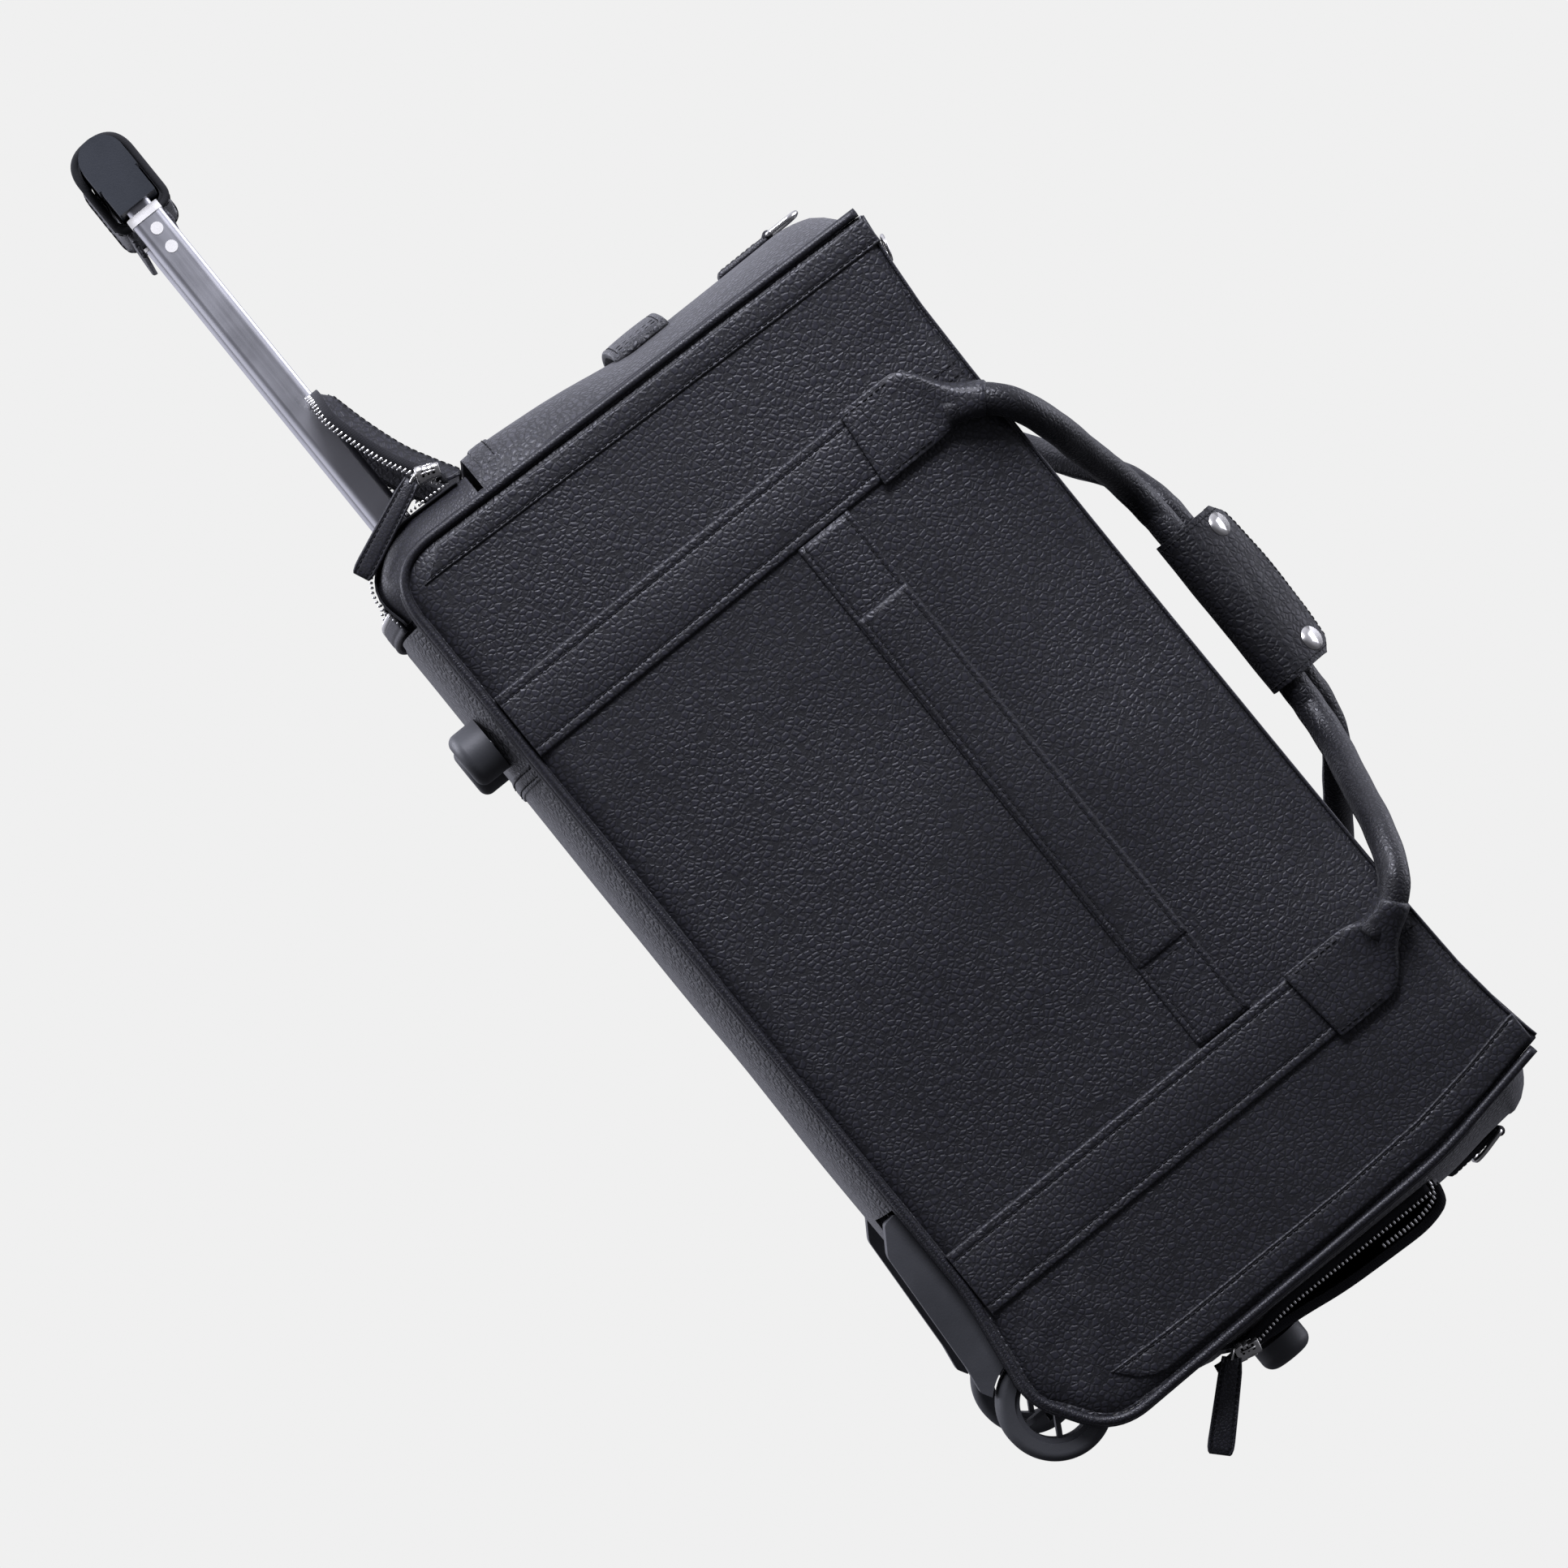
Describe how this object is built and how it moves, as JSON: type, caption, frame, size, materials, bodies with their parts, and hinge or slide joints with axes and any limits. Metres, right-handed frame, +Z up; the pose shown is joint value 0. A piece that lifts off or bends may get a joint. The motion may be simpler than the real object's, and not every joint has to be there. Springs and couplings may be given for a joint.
{
  "type": "wheeled leather holdall",
  "caption": "Black leather wheeled holdall with a telescopic trolley handle, carry handles, zips and a flap over the handle compartment.",
  "frame": {"origin": "on the floor, under the middle of the whole object's length and depth with the trolley handle drawn out one stage", "axes": "+X towards the wheel end, -Y the front panel, +Z up"},
  "size_m": [0.8365, 0.275, 0.372],
  "materials": {
    "leather": "pebbled grain, semi-matt black",
    "lining": "plain woven lining",
    "board": "fibreboard, matt",
    "black_plastic": "fine moulded texture",
    "grip_plastic": "satin slate",
    "pale_plastic": "matt warm grey",
    "tube": "satin anodised",
    "steel": "zinc plated",
    "nickel": "polished nickel",
    "zip_metal": "nickel teeth on black tape",
    "tyre": "matt polyurethane",
    "foot_rubber": "matt moulded"
  },
  "bodies": {
    "bag": {"front_panel": "leather", "back_panel": "leather", "base_panel": "leather", "handle_end_panel": "leather", "wheel_end_panel": "leather", "top_panels": "leather", "compartment_strips": "leather", "piping": "leather", "end_bands": "leather", "straps": "leather", "cross_bands": "leather", "chapes": "leather", "lining": "lining", "base_board": "board", "end_tabs": "leather", "grab_loop": "leather", "handle_well": "black_plastic", "well_zip": "zip_metal", "flap_slider": "nickel", "outer_tubes": "tube", "tube_bracket": "black_plastic", "screws": "steel", "wheel_housings": "black_plastic", "axles": "steel", "base_feet": "foot_rubber", "end_studs": "foot_rubber", "pocket": "leather", "pocket_zip": "zip_metal", "pocket_slider": "nickel", "main_zip": "zip_metal"},
    "middle_stage": {"middle_tubes": "tube", "collars": "pale_plastic", "collar_rivets": "pale_plastic"},
    "inner_stage": {"inner_tubes": "tube", "grip_cap": "grip_plastic", "grip_yoke": "grip_plastic", "grip_sleeve": "leather"},
    "release_button": {"grip_button": "grip_plastic", "release_rods": "steel"},
    "trolley_flap": {"flap": "leather", "flap_zip": "zip_metal"},
    "flap_pull_tab": {"flap_pull": "leather"},
    "front_carry_handle": {"front_handle": "leather", "front_wrap": "leather", "snap_caps": "nickel"},
    "back_carry_handle": {"back_handle": "leather", "back_wrap": "leather", "snap_sockets": "nickel"},
    "front_wheel": {"front_tyre": "tyre", "front_hub": "black_plastic"},
    "back_wheel": {"back_tyre": "tyre", "back_hub": "black_plastic"},
    "handle_end_slider": {"main_slider_handle_end": "nickel"},
    "wheel_end_slider": {"main_slider_wheel_end": "nickel"},
    "handle_end_ring": {"main_ring_handle_end": "nickel"},
    "wheel_end_ring": {"main_ring_wheel_end": "nickel"},
    "pocket_pull_tab": {"pocket_pull": "leather"},
    "handle_end_d_ring": {"d_ring_handle_end": "nickel"},
    "wheel_end_d_ring": {"d_ring_wheel_end": "nickel"}
  },
  "joints": [
    {"name": "middle_stage_slide", "type": "slide", "parent": "bag", "child": "middle_stage", "axis": [1, 0, 0], "range_m": [0, 0.232], "deforming": ["flap", "flap_zip"]},
    {"name": "inner_stage_slide", "type": "slide", "parent": "middle_stage", "child": "inner_stage", "axis": [-1, 0, 0], "range_m": [0, 0.232]},
    {"name": "release_button_press", "type": "slide", "parent": "inner_stage", "child": "release_button", "axis": [1, 0, 0], "range_m": [0, 0.004], "stiffness_N_per_m": 400},
    {"name": "flap_lift", "type": "hinge", "parent": "bag", "child": "trolley_flap", "pos_m": [-0.18, 0, 0.087], "axis": [0, 1, 0], "range_deg": [0, 85]},
    {"name": "flap_pull_swing", "type": "hinge", "parent": "bag", "child": "flap_pull_tab", "pos_m": [-0.187, -0.1085, 0.0685], "axis": [0, 1, 0], "range_deg": [0, 70]},
    {"name": "front_handle_fold", "type": "hinge", "parent": "bag", "child": "front_carry_handle", "pos_m": [0.1075, -0.13, 0.285], "axis": [1, 0, 0], "range_deg": [0, 150]},
    {"name": "back_handle_fold", "type": "hinge", "parent": "bag", "child": "back_carry_handle", "pos_m": [0.1075, 0.13, 0.285], "axis": [-1, 0, 0], "range_deg": [0, 150]},
    {"name": "front_wheel_spin", "type": "hinge", "parent": "bag", "child": "front_wheel", "pos_m": [0.346, -0.1, 0.028], "axis": [0, 1, 0], "continuous": true},
    {"name": "back_wheel_spin", "type": "hinge", "parent": "bag", "child": "back_wheel", "pos_m": [0.346, 0.1, 0.028], "axis": [0, 1, 0], "continuous": true},
    {"name": "handle_end_slider_slide", "type": "slide", "parent": "bag", "child": "handle_end_slider", "axis": [1, 0, 0], "range_m": [0, 0.17]},
    {"name": "wheel_end_slider_slide", "type": "slide", "parent": "bag", "child": "wheel_end_slider", "axis": [-1, 0, 0], "range_m": [0, 0.17]},
    {"name": "handle_end_ring_swing", "type": "hinge", "parent": "handle_end_slider", "child": "handle_end_ring", "pos_m": [-0.131, 0, 0.321], "axis": [0, 1, 0], "range_deg": [-12, 143]},
    {"name": "wheel_end_ring_swing", "type": "hinge", "parent": "wheel_end_slider", "child": "wheel_end_ring", "pos_m": [0.339, 0, 0.321], "axis": [0, -1, 0], "range_deg": [-12, 143]},
    {"name": "pocket_pull_swing", "type": "hinge", "parent": "bag", "child": "pocket_pull_tab", "pos_m": [0.3835, -0.0915, 0.109], "axis": [0, -1, 0], "range_deg": [-45, 20]},
    {"name": "handle_end_d_ring_swing", "type": "hinge", "parent": "bag", "child": "handle_end_d_ring", "pos_m": [-0.1784, 0, 0.2804], "axis": [0, -1, 0], "range_deg": [0, 120]},
    {"name": "wheel_end_d_ring_swing", "type": "hinge", "parent": "bag", "child": "wheel_end_d_ring", "pos_m": [0.3896, 0, 0.283], "axis": [0, -1, 0], "range_deg": [0, 150]}
  ]
}
